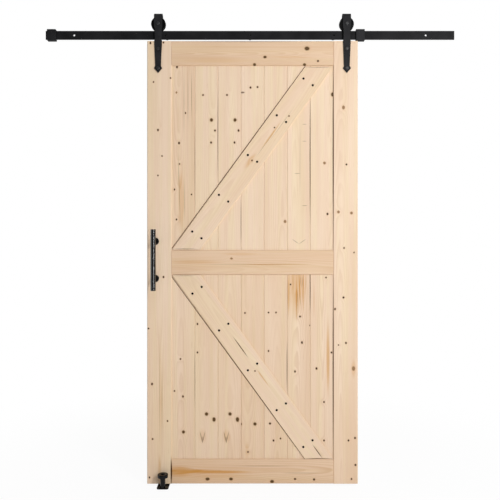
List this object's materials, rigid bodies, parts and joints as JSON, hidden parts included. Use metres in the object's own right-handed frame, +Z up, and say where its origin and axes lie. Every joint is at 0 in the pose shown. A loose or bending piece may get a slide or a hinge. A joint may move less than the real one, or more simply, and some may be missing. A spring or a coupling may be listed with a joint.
{
  "type": "sliding barn door",
  "caption": "Sliding plank barn door with a K of braces, hung by arrow straps and grooved wheels from a flat black track, with a bar pull and a floor roller guide.",
  "frame": {"origin": "on the wall, at the centre of the middle spacer's back face, level with the track's centre line", "axes": "+X to the right along the track seen from the room, +Y into the wall, +Z up"},
  "size_m": [1.975, 0.1285, 2.2788],
  "materials": {
    "spruce": "matte",
    "black_steel": "satin",
    "gloss_black_steel": "gloss",
    "black_nylon": "satin"
  },
  "bodies": {
    "track": {"track_rail": "black_steel", "left_spacer": "black_steel", "centre_spacer": "black_steel", "right_spacer": "black_steel", "left_stop": "black_steel", "right_stop": "black_steel", "guide_bracket": "black_steel", "guide_post": "black_steel", "guide_pin": "black_steel"},
    "door": {"bottom_rail": "spruce", "handle_bar": "gloss_black_steel", "handle_lower_post": "gloss_black_steel", "handle_upper_post": "gloss_black_steel", "left_axle_bolt": "black_steel", "left_stile": "spruce", "left_strap": "black_steel", "left_strap_bolts": "black_steel", "lower_board_1": "spruce", "lower_board_2": "spruce", "lower_board_3": "spruce", "lower_board_4": "spruce", "lower_board_5": "spruce", "lower_board_6": "spruce", "lower_board_7": "spruce", "lower_brace": "spruce", "middle_rail": "spruce", "right_axle_bolt": "black_steel", "right_stile": "spruce", "right_strap": "black_steel", "right_strap_bolts": "black_steel", "top_rail": "spruce", "upper_board_1": "spruce", "upper_board_2": "spruce", "upper_board_3": "spruce", "upper_board_4": "spruce", "upper_board_5": "spruce", "upper_board_6": "spruce", "upper_board_7": "spruce", "upper_brace": "spruce"},
    "wheel_left": {"left_wheel": "black_nylon"},
    "wheel_right": {"right_wheel": "black_nylon"},
    "floor_roller": {"guide_roller": "black_nylon"}
  },
  "joints": [
    {"name": "door_slide", "type": "slide", "parent": "track", "child": "door", "axis": [1, 0, 0], "range_m": [-0.455, 0.005]},
    {"name": "left_wheel_spin", "type": "hinge", "parent": "door", "child": "wheel_left", "pos_m": [-0.4425, -0.039, 0.0528], "axis": [0, 1, 0], "continuous": true},
    {"name": "right_wheel_spin", "type": "hinge", "parent": "door", "child": "wheel_right", "pos_m": [0.4665, -0.039, 0.0528], "axis": [0, 1, 0], "continuous": true},
    {"name": "guide_roller_spin", "type": "hinge", "parent": "track", "child": "floor_roller", "pos_m": [-0.416, -0.08, -2.115], "axis": [0, 0, 1], "continuous": true}
  ],
  "couplings": [
    {"joint": "left_wheel_spin", "follows": "door_slide", "rad_per_m": 31.746},
    {"joint": "right_wheel_spin", "follows": "door_slide", "rad_per_m": 31.746}
  ]
}
